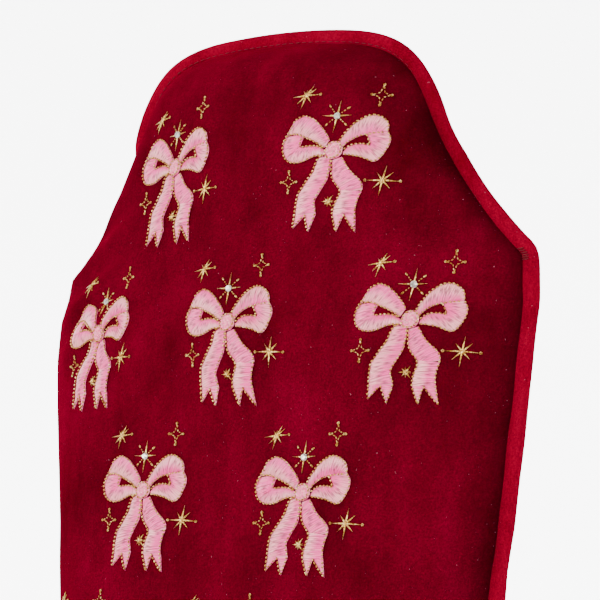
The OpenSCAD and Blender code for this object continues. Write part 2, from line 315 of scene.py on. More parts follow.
def cushion(name, side, d0, d1, material, fine):
    """One closed layer from d0 to d1 mm below the outer face; fine is columns and rows."""
    cols = fine[0]
    outer = cushion_grid(side, d0, *fine)
    inner = cushion_grid(side, d1, *fine)
    rows = len(outer)
    n = rows * cols
    skin = grid_faces(rows, cols)
    back = [tuple(n + i for i in reversed(f)) for f in skin]
    rim = []
    edge = (
        [(0, i) for i in range(cols)]
        + [(j, cols - 1) for j in range(1, rows)]
        + [(rows - 1, i) for i in range(cols - 2, -1, -1)]
        + [(j, 0) for j in range(rows - 2, 0, -1)]
    )
    ids = [j * cols + i for j, i in edge]
    for a, b in zip(ids, ids[1:] + ids[:1]):
        rim.append((b, a, n + a, n + b))
    faces = skin + back + rim
    if side > 0:
        faces = [tuple(reversed(f)) for f in faces]
    pts = np.concatenate([outer.reshape(-1, 3), inner.reshape(-1, 3)])
    obj = make(name, pts, faces, material)
    # painted shade: the velvet's colour is darkened in the crease along the seam, where shade falls
    x, z = np.abs(outer[..., 0] - lean(outer[..., 2])), outer[..., 2]
    s = np.sin(np.linspace(-1, 1, cols) * math.pi / 2)[None]
    to_edge = np.minimum(edge_x(np.minimum(z, CORNER_Z), s) - x, (top_z(s) - z) * 1.3)
    painted_crease_shade = np.exp(-np.maximum(to_edge, 0) / 5.0).reshape(-1)
    layer = obj.data.attributes.new("shade", "FLOAT", "POINT")
    layer.data.foreach_set("value", np.tile(painted_crease_shade, 2).astype(np.float32))
    return obj


def resample(line, step=None, count=None, closed=False):
    """Points evenly along a line of points, by a smooth curve through them."""
    p = np.asarray(line, float)
    if closed:
        p = np.vstack([p, p[:1]])
    if len(p) > 2:
        q = [p[0]]
        n = len(p)
        for k in range(n - 1):
            a = p[k - 1] if k > 0 else (p[-2] if closed else p[0])
            b = p[k + 2] if k + 2 < n else (p[1] if closed else p[-1])
            for t in np.linspace(0, 1, 9)[1:]:
                m0, m1 = (p[k + 1] - a) / 2, (b - p[k]) / 2
                q.append(
                    (2 * t**3 - 3 * t**2 + 1) * p[k]
                    + (t**3 - 2 * t**2 + t) * m0
                    + (3 * t**2 - 2 * t**3) * p[k + 1]
                    + (t**3 - t**2) * m1
                )
        p = np.array(q)
    seg = np.linalg.norm(np.diff(p, axis=0), axis=1)
    at = np.concatenate([[0], np.cumsum(seg)])
    if count is None:
        count = max(2, int(round(at[-1] / step)) + 1)
    want = np.linspace(0, at[-1], count)
    return np.stack([np.interp(want, at, p[:, k]) for k in range(p.shape[1])], -1)


# ---------------------------------------------------------------- materials
def linear(hex_colour):
    """A colour written as #rrggbb, in the linear values that shaders take."""
    c = [int(hex_colour[i : i + 2], 16) / 255 for i in (1, 3, 5)]
    return [x / 12.92 if x <= 0.04045 else ((x + 0.055) / 1.055) ** 2.4 for x in c] + [1.0]


class Nodes:
    """Short names for building a node material."""

    def __init__(self, name):
        self.mat = bpy.data.materials.new(name)
        self.mat.use_nodes = True
        self.tree = self.mat.node_tree
        self.shader = self.tree.nodes["Principled BSDF"]
        self.coord = self.add("ShaderNodeTexCoord").outputs["Object"]

    def add(self, kind, **settings):
        node = self.tree.nodes.new(kind)
        for key, value in settings.items():
            setattr(node, key, value)
        return node

    def link(self, a, b):
        self.tree.links.new(a, b)

    def noise(self, scale, detail=3, rough=0.5, stretch=None):
        node = self.add("ShaderNodeTexNoise")
        node.inputs["Scale"].default_value = scale
        node.inputs["Detail"].default_value = detail
        node.inputs["Roughness"].default_value = rough
        source = self.coord
        if stretch:
            mapping = self.add("ShaderNodeMapping")
            mapping.inputs["Scale"].default_value = stretch
            self.link(source, mapping.inputs["Vector"])
            source = mapping.outputs["Vector"]
        self.link(source, node.inputs["Vector"])
        return node.outputs["Fac"]

    def ramp(self, value, stops):
        node = self.add("ShaderNodeValToRGB")
        el = node.color_ramp.elements
        while len(el) < len(stops):
            el.new(0.5)
        for e, (at, colour) in zip(el, stops):
            e.position = at
            e.color = colour
        self.link(value, node.inputs["Fac"])
        return node.outputs["Color"]

    def feed(self, socket, value):
        """Links another node's output to the socket, or sets a constant on it."""
        if hasattr(value, "links"):
            self.link(value, socket)
        else:
            socket.default_value = value

    def mix(self, fac, a, b, blend="MIX"):
        node = self.add("ShaderNodeMix", data_type="RGBA", blend_type=blend)
        for socket, value in ((node.inputs[0], fac), (node.inputs[6], a), (node.inputs[7], b)):
            self.feed(socket, value)
        return node.outputs[2]

    def maths(self, operation, a, b):
        node = self.add("ShaderNodeMath", operation=operation)
        for socket, value in ((node.inputs[0], a), (node.inputs[1], b)):
            self.feed(socket, value)
        return node.outputs[0]

    def bump(self, height, strength, distance):
        node = self.add("ShaderNodeBump")
        node.inputs["Strength"].default_value = strength
        node.inputs["Distance"].default_value = distance
        self.link(height, node.inputs["Height"])
        self.link(node.outputs["Normal"], self.shader.inputs["Normal"])

    def set(self, **values):
        """Feeds the shader's sockets by name, with _ for a space."""
        for key, value in values.items():
            self.feed(self.shader.inputs[key.replace("_", " ")], value)

    def attribute(self, name):
        node = self.add("ShaderNodeAttribute", attribute_name=name)
        return node.outputs["Fac"]


def grey(v):
    return [v, v, v, 1]


def velvet_material(name, dark, mid, light):
    """Short pile: cloudy nap, fine speckle, painted shade in the creases along the seams, a soft bloom at
    the edges and a little lint.
    """
    m = Nodes(name)
    nap = m.noise(26, 4, 0.6)
    brushed = m.noise(60, 5, 0.65, (1, 1, 0.35))
    speck = m.noise(1350, 3, 0.75)
    cloud = m.maths("ADD", m.maths("MULTIPLY", nap, 0.55), m.maths("MULTIPLY", brushed, 0.45))
    base = m.ramp(cloud, [(0.3, linear(dark)), (0.52, linear(mid)), (0.75, linear(light))])
    base = m.mix(0.6, base, m.ramp(speck, [(0.34, grey(0.35)), (0.66, grey(1.15))]), "MULTIPLY")
    # painted shade: darkens the colour in the creases along the seams
    painted_crease_shade = m.maths("MULTIPLY", m.attribute("shade"), 0.8)
    base = m.mix(painted_crease_shade, base, linear("#140002"))
    lint = m.ramp(m.noise(1100, 1, 0.4), [(0.76, grey(0)), (0.80, grey(0.25))])
    base = m.mix(lint, base, linear("#b0707c"))
    m.set(Base_Color=base, Roughness=0.9, Sheen_Weight=0.4, Sheen_Roughness=0.35)
    m.set(Sheen_Tint=linear("#b80a34"), Specular_IOR_Level=0.0)
    m.bump(m.maths("ADD", speck, m.maths("MULTIPLY", nap, 0.6)), 0.35, 0.0006)
    return m.mat


def satin_thread_material():
    """Floss: two pinks, with painted shade between the threads and fine fibres along each."""
    m = Nodes("satin_thread")
    tint, shade = m.attribute("tint"), m.attribute("shade")
    grain = m.noise(1500, 2, 0.5)
    hot = m.mix(grain, linear("#f81c84"), linear("#ff4ca8"))
    pale = m.mix(grain, linear("#ff949c"), linear("#ffbcb8"))
    base = m.mix(tint, hot, pale)
    # the shade attribute darkens the colour: painted shade between and under the threads, and random darker
    # tone on the knot
    base = m.mix(shade, base, linear("#8c0c3c"))
    m.set(Base_Color=base, Roughness=0.42, Sheen_Weight=0.25)
    m.set(Sheen_Tint=linear("#f8b0d0"), Specular_IOR_Level=0.7, Anisotropic=0.5)
    m.bump(grain, 0.25, 0.0001)
    return m.mat


def gold_thread_material():
    """Twisted metal thread, with painted shade in the turns and painted highlights on top."""
    m = Nodes("gold_thread")
    turn = m.noise(1900, 2, 0.6)
    # painted shade and painted highlights: the colour runs from dark to bright over noise
    base = m.ramp(turn, [(0.34, linear("#54300a")), (0.5, linear("#b4822f")), (0.68, linear("#f0d690"))])
    m.set(Base_Color=base, Metallic=0.8, Roughness=0.3)
    m.bump(turn, 0.4, 0.00015)
    return m.mat


def crystal_material():
    """A foiled stone: small pale painted glints of fire on a near mirror."""
    m = Nodes("crystal")
    painted_fire_glint = m.noise(900, 1, 0.5)
    # painted glints: pale and warm spots in the colour stand in for the stone's fire
    base = m.ramp(painted_fire_glint, [(0.35, linear("#a0988c")), (0.5, linear("#f4efe6")), (0.7, linear("#dcbc9c"))])
    m.set(Base_Color=base, Metallic=0.55, Roughness=0.06)
    return m.mat


def cloth_material(name, dark, light, scale, rough, sheen=0.2):
    """Plain cloth: two close colours under a fine weave."""
    m = Nodes(name)
    weave = m.noise(scale, 3, 0.6)
    soft = m.noise(40, 3, 0.5)
    base = m.mix(soft, linear(dark), linear(light))
    base = m.mix(0.25, base, m.ramp(weave, [(0.3, grey(0.5)), (0.7, grey(1))]), "MULTIPLY")
    m.set(Base_Color=base, Roughness=rough, Sheen_Weight=sheen)
    m.set(Sheen_Tint=linear(light), Specular_IOR_Level=0.15)
    m.bump(weave, 0.3, 0.0003)
    return m.mat


def snap_material():
    """Plated steel with faint brushed lines."""
    m = Nodes("snap_metal")
    scratch = m.noise(400, 4, 0.6, (1, 1, 8))
    m.set(Base_Color=m.ramp(scratch, [(0.3, grey(0.55)), (0.7, grey(0.75))]), Metallic=1.0)
    m.set(Roughness=0.25)
    m.bump(scratch, 0.05, 0.0001)
    return m.mat


VELVET = velvet_material("velvet", "#3a0008", "#560013", "#6c001e")
BINDING = velvet_material("binding", "#56000e", "#78001c", "#90062a")
STITCH = cloth_material("seam_thread", "#400008", "#6a0414", 1800, 0.6)
LINING = cloth_material("lining", "#480010", "#60081c", 2200, 0.6, 0.1)
WADDING = cloth_material("wadding", "#d8d6d0", "#f4f2ee", 700, 0.95, 0.5)
BOARD = cloth_material("board", "#8c7450", "#a89068", 500, 0.9, 0.0)
SATIN = satin_thread_material()
GOLD = gold_thread_material()
CRYSTAL = crystal_material()
SNAP = snap_material()


# ---------------------------------------------------------------- baking transforms
def bend(obj):
    """Bakes obj's placement into its mesh."""
    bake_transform(obj)


# ---------------------------------------------------------------- cushions
FINE = (150, 150, 70)
COARSE = (60, 50, 26)
for side, word in ((-1, "front"), (1, "back")):
    flap = word + "_flap"
    skin = cushion(word + "_velvet", side, 0, VELVET_T, VELVET, FINE if side < 0 else (110, 100, 46))
    fill = cushion(word + "_filling", side, VELVET_T, VELVET_T + WADDING_T, WADDING, COARSE)
    inside = cushion(word + "_satin", side, VELVET_T + WADDING_T, WALL, LINING, COARSE)
    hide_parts(word + "_panel", flap + "_panel")
    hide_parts(word + "_wadding", flap + "_wadding")
    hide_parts(word + "_lining", flap + "_lining")
    for obj, slot in ((skin, "velvet"), (fill, "wadding"), (inside, "lining")):
        bend(obj)


# ---------------------------------------------------------------- binding
def seam_path(step=1.6):
    """The seam line from the right foot over the top to the left foot, with outward normals."""
    z = np.linspace(0, CORNER_Z, 400)
    s = np.sin(np.linspace(math.pi / 2, -math.pi / 2, 319))[1:-1]
    right = np.stack([edge_x(z, 1.0), z], -1)
    top = np.stack([s * edge_x(np.array(CORNER_Z), s), top_z(s)], -1)
    left = np.stack([-edge_x(z, -1.0), z], -1)[::-1]
    path = resample(np.vstack([right, top, left])[::4], step=step)
    run = np.gradient(path, axis=0)
    run /= np.linalg.norm(run, axis=1, keepdims=True)
    out = np.stack([run[:, 1], -run[:, 0]], -1)
    return path, run, out


def seam_point(path, out, off, y):
    """A place off the seam line, outward and back, turned back where the left side rolls.

    Only what lies outside the seam turns: the inner leaf stays flat over the raw edges."""
    outside = np.clip(1 + off / 1.2, 0, 1)
    tilt = math.radians(68) * rolled_over(path[:, 1]) * (path[:, 0] < 0) * outside
    y = np.broadcast_to(y, len(path))
    away = off * np.cos(tilt) - y * np.sin(tilt)
    back = y * np.cos(tilt) + off * np.sin(tilt)
    p = path + out * away[..., None]
    return np.stack([p[:, 0] + lean(p[:, 1]), SEAM_Y + back, p[:, 1]], -1)


def binding(name, side):
    """Half of the folded binding: a soft strip with a rounded outer edge."""
    path, run, out = seam_path()
    n = len(path)
    a = np.linspace(0, 1, n)
    swell = 0.12 * np.sin(a * 190) + 0.10 * np.sin(a * 83 + 1)
    # outward and thick; the inner leaf covers the raw edges of the layers inside the mouth
    profile = [(-4.8, 0.0), (-4.8, 0.3), (-1.5, 0.35), (-1.2, 1.0), (0.0, 1.5), (1.2, 1.95)]
    profile += [(2.8, 2.05), (4.0, 1.75), (4.75, 1.05), (BIND_W, 0.35), (BIND_W, 0.0)]
    rows = []
    for off, thick in profile:
        push = (thick > 0.5) * swell
        rows.append(seam_point(path, out, np.full(n, off), side * (GAP * 0.5 + thick * 0.95 + push)))
    pts = np.array(rows).transpose(1, 0, 2)
    faces = grid_faces(n, len(profile), wrap=True)
    k = len(profile)
    faces += [tuple(range(k)), tuple(reversed(range((n - 1) * k, n * k)))]
    if side < 0:
        faces = [tuple(reversed(f)) for f in faces]
    return make(name, pts.reshape(-1, 3), faces, BINDING)


def capsule(a, b, wide, high, up, sides=6, rings=(0.0, 0.22, 0.78, 1.0), ends=0.45):
    """A short thread from a to b: points and faces."""
    a, b, up = (np.asarray(v, float) for v in (a, b, up))
    run = b - a
    length = np.linalg.norm(run)
    run = run / max(length, 1e-9)
    across = np.cross(run, up)
    across /= max(np.linalg.norm(across), 1e-9)
    up = np.cross(across, run)
    pts, faces = [], []
    for q in rings:
        grow = ends if q in (rings[0], rings[-1]) else 1.0
        for k in range(sides):
            t = 2 * math.pi * k / sides
            off = across * math.cos(t) * wide + up * math.sin(t) * high
            pts.append(a + run * length * q + off * grow / 2)
    faces += grid_faces(len(rings), sides, wrap=True)
    last = (len(rings) - 1) * sides
    faces += [tuple(reversed(range(sides))), tuple(range(last, last + sides))]
    return pts, faces


def seam_stitches(name, side):
    """A row of short stitches along the binding's inner edge, side -1 front, 1 back."""
    path, run, out = seam_path(step=0.8)
    pile = Pile()
    for k in range(0, len(path) - 4, 4):
        high = 1.25 + 0.45 * ease((path[k, 1] - 335) / 15)
        p = seam_point(path[k : k + 4], out[k : k + 4], np.full(4, 0.1), side * high)
        pts, faces = capsule(p[0], p[3], 0.4, 0.4, (0, side, 0))
        pile.add(pts, faces)
    return pile.build(name, STITCH)


for side, word in ((-1, "front"), (1, "back")):
    strip = binding(word + "_edge_binding", side)
    if side < 0:
        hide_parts("front_flap_binding", "right_binding", "left_binding")
    else:
        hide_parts("back_flap_binding")
    thread = seam_stitches(word + "_edge_stitches", side)
    for obj in (strip, thread):
        bend(obj)

# ---------------------------------------------------------------- base
def foot_line(grow, count=150):
    """The outline of the base, from the left corner round the front and back."""
    s = np.sin(np.linspace(-1, 1, count) * math.pi / 2)
    front = np.stack([(BASE_HALF + grow) * s, SEAM_Y - (FRONT_PUFF + grow) * front_c(s)], -1)
    back = np.stack([(BASE_HALF + grow) * s, SEAM_Y + (BACK_PUFF + grow) * back_c(s)], -1)
    ring = np.vstack([front, back[::-1][1:-1]])
    ring[:, 0] += lean(np.array(0.0))
    return ring


def slab(name, grow, z0, z1, material, rings=5):
    """A flat pad over the base: filled rings, top and bottom."""
    pts, faces = [], []
    ring = foot_line(grow)
    n = len(ring)
    middle = ring.mean(axis=0)
    for z in (z0, z1):
        for k in range(rings):
            q = 1 - 0.96 * k / (rings - 1)
            p = middle + (ring - middle) * q
            pts += [(x, y, z) for x, y in p]
    per = rings * n
    for top in (0, 1):
        for f in grid_faces(rings, n, wrap=True):
            f = tuple(top * per + i for i in f)
            faces.append(f if top else tuple(reversed(f)))
        cap = tuple(top * per + (rings - 1) * n + i for i in range(n))
        faces.append(cap if top else tuple(reversed(cap)))
    faces += [(i, (i + 1) % n, per + (i + 1) % n, per + i) for i in range(n)]
    return make(name, pts, faces, material, smooth=False)


base_skin = slab("base_velvet", 0, 0, VELVET_T, VELVET)
base_inside = slab("base_satin", -WALL - 0.5, VELVET_T + 2.0, VELVET_T + 2.0 + LINING_T, LINING)
BOARD_T = 2.0
base_stiff = slab("stiff_board", -WALL - 0.5, VELVET_T, VELVET_T + BOARD_T, BOARD)
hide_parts("base_panel")
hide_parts("base_lining")
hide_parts("base_board")


def foot_piping(name):
    """The bound edge round the foot: a soft roll just outside the panels."""
    ring = foot_line(0.9, 220)
    n = len(ring)
    run = np.roll(ring, -1, 0) - np.roll(ring, 1, 0)
    run /= np.linalg.norm(run, axis=1, keepdims=True)
    out = np.stack([run[:, 1], -run[:, 0]], -1)
    pts, faces = [], []
    sides, wide, high = 10, 1.1, BIND_T / 2
    for k in range(n):
        here, after = k * sides, (k + 1) % n * sides
        for j in range(sides):
            t = 2 * math.pi * j / sides
            q = ring[k] + out[k] * wide * math.cos(t)
            pts.append((q[0], q[1], high + high * math.sin(t)))
            up = (j + 1) % sides
            faces.append((here + j, after + j, after + up, here + up))
    return make(name, pts, faces, BINDING)


piping = foot_piping("base_piping")
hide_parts("base_binding")
base_parts = ((base_skin, "velvet"), (base_inside, "lining"), (piping, "binding"))
for obj, slot in (*base_parts, (base_stiff, "board")):
    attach(obj, "bag")


# ---------------------------------------------------------------- bar tacks and snap
for side, word in ((-1, "left"), (1, "right")):
    pile = Pile()
    for k in range(6):
        z = FOLD_Z - 7 + 0.8 * k
        line = np.array([[side * edge_x(np.array(z), side), z + dz] for dz in (0.0, 0.2)])
        p = seam_point(line, np.array([[side, 0.0]] * 2), np.array([-0.6, 2.4]), -2.05)
        pts, faces = capsule(p[0], p[1], 0.6, 0.5, (0, -1, 0))
        pile.add(pts, faces)
    tack = pile.build(word + "_tack_stitches", STITCH)
    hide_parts(word + "_bar_tack")
    bend(tack)

SNAP_Z = SEAM_TOP - 10.0
FELT_OFF = 3.0
for side, word in ((-1, "stud"), (1, "socket")):
    pile = Pile()
    y0 = SEAM_Y + side * FELT_OFF
    # radius and thickness of each ring of the round patch
    rings = [(5.6, 0.2), (5.4, 0.75), (4.2, 0.8), (2.0, 0.85)]
    pts, n = [], 36
    for radius, thick in rings:
        for k in range(n):
            t = 2 * math.pi * k / n
            pts.append((radius * math.cos(t), y0 - side * (thick - 0.4), SNAP_Z + radius * math.sin(t)))
    faces = grid_faces(len(rings), n, wrap=True)
    faces.append(tuple(range(3 * n, 4 * n)))
    faces.append(tuple(reversed(range(n))))
    pile.add(pts, faces)
    patch = pile.build(word + "_felt", LINING)
    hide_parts(word + "_patch")
    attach(patch, "front_flap" if side < 0 else "back_flap")
for node in ("snap_stud", "snap_socket"):
    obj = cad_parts[node]
    obj.data.materials.clear()
    obj.data.materials.append(SNAP)

# ---------------------------------------------------------------- embroidery
# Edges of one bow's ribbons, in bow widths: right and up from the middle of the knot.
# Traced by eye on the photo, turned into bow widths by a fitting script and rounded, with
# a few points moved by hand afterwards. The knot's edge below is from the same trace.
L_TOP_OUT = [(-0.08, 0.10), (-0.10, 0.14), (-0.15, 0.20), (-0.20, 0.25), (-0.25, 0.29), (-0.30, 0.31)]
L_TOP_OUT += [(-0.35, 0.32), (-0.39, 0.30), (-0.43, 0.28), (-0.45, 0.23), (-0.47, 0.19), (-0.50, 0.15)]
L_TOP_OUT += [(-0.52, 0.11), (-0.535, 0.07)]
L_TOP_IN = [(-0.12, 0.03), (-0.16, 0.06), (-0.20, 0.08), (-0.24, 0.10), (-0.29, 0.12), (-0.33, 0.135)]
L_TOP_IN += [(-0.37, 0.15), (-0.41, 0.16), (-0.44, 0.16), (-0.47, 0.155), (-0.49, 0.15), (-0.51, 0.12)]
L_TOP_IN += [(-0.525, 0.09), (-0.535, 0.06)]
L_BACK_OUT = [(-0.50, 0.14), (-0.53, 0.09), (-0.535, 0.04), (-0.52, -0.02), (-0.49, -0.065)]
L_BACK_IN = [(-0.39, 0.155), (-0.34, 0.13), (-0.35, 0.09), (-0.36, 0.05), (-0.35, 0.04)]
L_LOW_TOP = [(-0.36, 0.045), (-0.31, 0.045), (-0.27, 0.05), (-0.21, 0.05), (-0.16, 0.04), (-0.11, 0.01)]
L_LOW_BOT = [(-0.49, -0.065), (-0.44, -0.09), (-0.40, -0.095), (-0.34, -0.09), (-0.28, -0.07)]
L_LOW_BOT += [(-0.22, -0.045), (-0.17, -0.035), (-0.11, -0.035)]
R_TOP_OUT = [(0.02, 0.09), (0.04, 0.14), (0.08, 0.19), (0.12, 0.24), (0.17, 0.28), (0.22, 0.31)]
R_TOP_OUT += [(0.27, 0.325), (0.32, 0.32), (0.36, 0.30), (0.40, 0.27), (0.42, 0.22), (0.42, 0.18)]
R_TOP_IN = [(0.05, 0.04), (0.08, 0.075), (0.11, 0.095), (0.15, 0.12), (0.20, 0.14), (0.25, 0.15)]
R_TOP_IN += [(0.30, 0.16), (0.35, 0.165), (0.39, 0.17), (0.42, 0.17)]
R_BACK_IN = [(0.25, 0.15), (0.27, 0.11), (0.29, 0.075), (0.29, 0.055)]
R_BACK_OUT = [(0.42, 0.18), (0.455, 0.12), (0.45, 0.05), (0.41, -0.02)]
R_LOW_TOP = [(0.06, 0.0), (0.09, 0.035), (0.15, 0.06), (0.21, 0.065), (0.26, 0.06), (0.30, 0.06)]
R_LOW_BOT = [(0.06, -0.03), (0.11, -0.03), (0.17, -0.04), (0.23, -0.05), (0.29, -0.075)]
R_LOW_BOT += [(0.34, -0.09), (0.38, -0.07), (0.42, -0.02)]
L_TAIL_L = [(-0.14, -0.04), (-0.17, -0.07), (-0.19, -0.12), (-0.21, -0.18), (-0.26, -0.25), (-0.30, -0.31)]
L_TAIL_L += [(-0.34, -0.37), (-0.35, -0.43), (-0.355, -0.49), (-0.355, -0.56)]
L_TAIL_R = [(-0.05, -0.065), (-0.05, -0.14), (-0.06, -0.19), (-0.07, -0.25), (-0.11, -0.32), (-0.15, -0.39)]
L_TAIL_R += [(-0.17, -0.44), (-0.16, -0.49), (-0.145, -0.56)]
R_TAIL_L = [(-0.04, -0.08), (-0.03, -0.14), (-0.03, -0.19), (-0.01, -0.25), (0.03, -0.30), (0.065, -0.34)]
R_TAIL_L += [(0.07, -0.38), (0.045, -0.44), (0.03, -0.49), (0.025, -0.56)]
R_TAIL_R = [(0.05, -0.05), (0.08, -0.09), (0.12, -0.15), (0.17, -0.20), (0.22, -0.24), (0.26, -0.29)]
R_TAIL_R += [(0.265, -0.34), (0.25, -0.39), (0.235, -0.45), (0.23, -0.50), (0.235, -0.56)]
L_NOTCH, L_TIP_L, L_TIP_R = (-0.25, -0.56), (-0.36, -0.675), (-0.195, -0.71)
R_NOTCH, R_TIP_L, R_TIP_R = (0.13, -0.562), (0.083, -0.71), (0.26, -0.715)
KNOT = [(-0.09, 0.03), (-0.06, 0.07), (-0.01, 0.08), (0.03, 0.07), (0.045, 0.03), (0.04, -0.02)]
KNOT += [(0.0, -0.055), (-0.06, -0.06), (-0.095, -0.045), (-0.10, -0.01)]
# Ribbons: edge, other edge, pale share at each edge, thread slant
RIBBONS = [
    (L_BACK_OUT, L_BACK_IN, 0.35, 0.0, 0.20),
    (L_LOW_TOP, L_LOW_BOT, 0.0, 0.9, 0.12),
    (L_TOP_OUT, L_TOP_IN, 0.0, 0.95, 0.16),
    (R_BACK_IN, R_BACK_OUT, 0.0, 0.6, 0.10),
    (R_LOW_TOP, R_LOW_BOT, 0.1, 0.95, 0.06),
    (R_TOP_OUT, R_TOP_IN, 0.85, 0.05, -0.05),
    (L_TAIL_L, L_TAIL_R, 0.8, 0.05, -0.12),
    (R_TAIL_L[:7], R_TAIL_R[:7], 0.25, 0.0, -0.14),
    (R_TAIL_L[5:], [(0.264, -0.36)] + R_TAIL_R[7:], 0.95, 0.0, -0.10),
    ([L_TAIL_L[-1], L_TIP_L], [L_NOTCH, L_TIP_L], 0.6, 0.1, 0.0),
    ([L_NOTCH, L_TIP_R], [L_TAIL_R[-1], L_TIP_R], 0.2, 0.2, 0.0),
    ([R_TAIL_L[-1], R_TIP_L], [R_NOTCH, R_TIP_L], 0.7, 0.3, 0.0),
    ([R_NOTCH, R_TIP_R], [R_TAIL_R[-1], R_TIP_R], 0.1, 0.0, 0.0),
]
# This ribbon, the turned end of the right tail, lies over the one before it
FOLD_BAND = 8
# Lines of couched gold thread; the last goes round the knot
GOLD_LINES = [
    L_TOP_OUT,
    L_TOP_IN[:-1],
    L_BACK_OUT[1:] + L_LOW_BOT[1:],
    [(-0.345, 0.125), (-0.355, 0.09), (-0.36, 0.05), (-0.35, 0.04)] + L_LOW_TOP[1:],
    R_TOP_OUT + R_BACK_OUT[1:-1] + R_LOW_BOT[::-1],
    R_TOP_IN,
    R_BACK_IN + R_LOW_TOP[::-1][1:],
    L_TAIL_L + [L_TIP_L],
    [L_TIP_L, L_NOTCH],
    [L_NOTCH, L_TIP_R],
    [L_TIP_R] + L_TAIL_R[::-1],
    R_TAIL_L + [R_TIP_L],
    [R_TIP_L, R_NOTCH],
    [R_NOTCH, R_TIP_R],
    [R_TIP_R] + R_TAIL_R[::-1],
    KNOT + KNOT[:1],
]
# Width of a satin thread, in mm
THREAD = 0.56
# Rays of the stars: angle and length in bow widths
STAR_LEFT = [(186, 0.135), (4, 0.13), (61, 0.10), (38, 0.10), (132, 0.06), (221, 0.11), (252, 0.13)]
STAR_LEFT += [(307, 0.08), (95, 0.05)]
STAR_RIGHT = [(357, 0.155), (40, 0.11), (80, 0.135), (129, 0.09), (180, 0.155), (222, 0.11), (262, 0.14)]
STAR_RIGHT += [(315, 0.10)]
STAR_SMALL = [(k * 43 + 10, 0.05 + 0.02 * (k % 3 == 1)) for k in range(9)]


class Bow:
    """One bow's place on the cloth: its knot, and how its cloth is pulled."""

    def __init__(self, u, z, pull):
        self.u, self.z, self.pull = u, z, np.array(pull)

    def on(self, p, lift):
        """Points in bow widths to points in mm on the cloth."""
        p = np.asarray(p, float)
        p = np.stack([p[..., 0] - 0.03 * np.minimum(p[..., 1], 0), p[..., 1]], -1)
        q = p @ self.pull.T * BOW_W
        return front_place(self.u + q[..., 0], self.z + q[..., 1], lift)

    def out(self, p):
        """Outward direction at a point."""
        q = self.on(np.array([p, p]), np.array([0.0, 1.0]))
        return q[1] - q[0]


def ribbon(pile, bow, band, depth):
    """Fills the space between two edges with satin threads, some long and some short."""
    left, right, pale_left, pale_right, slant = band
    marks = 60
    a0, b0 = resample(left, count=marks), resample(right, count=marks)
    length = max(np.linalg.norm(np.diff(line, axis=0), axis=1).sum() for line in (a0, b0))
    count = max(3, int(length * BOW_W / THREAD))
    at = np.linspace(0, 1, marks)
    along = np.linspace(0, 1, count) + rng.normal(0, 0.22 / count, count)

    def pick(line, q):
        return np.stack([np.interp(np.clip(q, 0, 1), at, line[:, k]) for k in (0, 1)], -1)

    a, b = pick(a0, along - slant / 2), pick(b0, along + slant / 2)
    q = np.array([0, 0.12, 0.3, 0.5, 0.7, 0.88, 1.0])
    centre = a[:, None] + (b - a)[:, None] * q[None, :, None]
    run = np.gradient(centre, axis=0)
    norm = np.maximum(np.linalg.norm(run, axis=2, keepdims=True), 1e-6)
    half = np.minimum(norm * 0.56, THREAD / BOW_W * 0.75)
    step = run / norm * half
    width = np.linalg.norm(b - a, axis=1) * BOW_W
    arch = np.minimum(0.8, 0.2 + width * 0.08)[:, None] * np.sin(math.pi * q)[None] ** 0.55
    arch = arch + depth + rng.normal(0, 0.06, (count, 1))
    ridge = bow.on(centre, arch + 0.34)
    pts = np.stack([bow.on(centre - step, arch), ridge, bow.on(centre + step, arch)], 2)
    # a first layer under the threads closes the places where they fan apart; its colour carries painted
    # shade
    under = pick(a0, at)[:, None] + (pick(b0, at) - pick(a0, at))[:, None] * q[None, :, None]
    full = bow.on(under, np.minimum(0.6, depth + 0.1 + 0.4 * np.sin(math.pi * q)[None] ** 0.55))
    pile.add(full.reshape(-1, 3), grid_faces(marks, len(q)), 0.5, 0.45)
    pale = pale_left + (pale_right - pale_left) * ease((q - 0.5) / 0.2 + 0.5)
    tint = np.clip(pale[None] + rng.normal(0, 0.16, (count, 1)), 0, 1)
    # on wide bands painted shade darkens small bites down the middle, where satin laid in two lengths would
    # meet
    painted_bite_shade = (width > 5.0)[:, None] * (rng.random((count, 1)) < 0.6)
    place = rng.integers(2, 5, (count, 1)) == np.arange(len(q))[None]
    dark = np.clip(painted_bite_shade * place * 0.8 + rng.normal(0.05, 0.09, (count, len(q))), 0, 1)
    faces = grid_faces(len(q), 3)
    for k in range(count):
        # painted shade: each thread's edges are darker than its ridge
        shade = np.stack([dark[k] * 0.5 + 0.42, dark[k], dark[k] * 0.5 + 0.42], -1)
        pile.add(pts[k].reshape(-1, 3), faces, np.repeat(tint[k], 3), shade.reshape(-1))


def knot(pile, bow):
    """The knot: threads wound round a small pad in rings."""
    marks = 30
    edge = resample(KNOT, count=marks, closed=True)
    middle = edge[:-1].mean(axis=0)
    for ring in range(6):
        q = 1 - ring * 0.17
        line = middle + (edge - middle) * q
        lift = 0.9 + 0.75 * (1 - q * q) + 0.12 * np.sin(np.arange(marks) * 2.1 + ring)
        p = bow.on(line, lift)
        up = bow.out(middle)
        for k in range(marks - 1):
            pts, faces = capsule(p[k], p[k + 1] + (p[k + 1] - p[k]) * 0.3, 0.85, 0.7, up, sides=5)
            turn = 0.5 + 0.5 * math.sin(k * 0.65 + ring * 1.9)
            pile.add(pts, faces, 0.1 + 0.8 * turn, np.clip(rng.normal(0.2, 0.22), 0, 0.8))


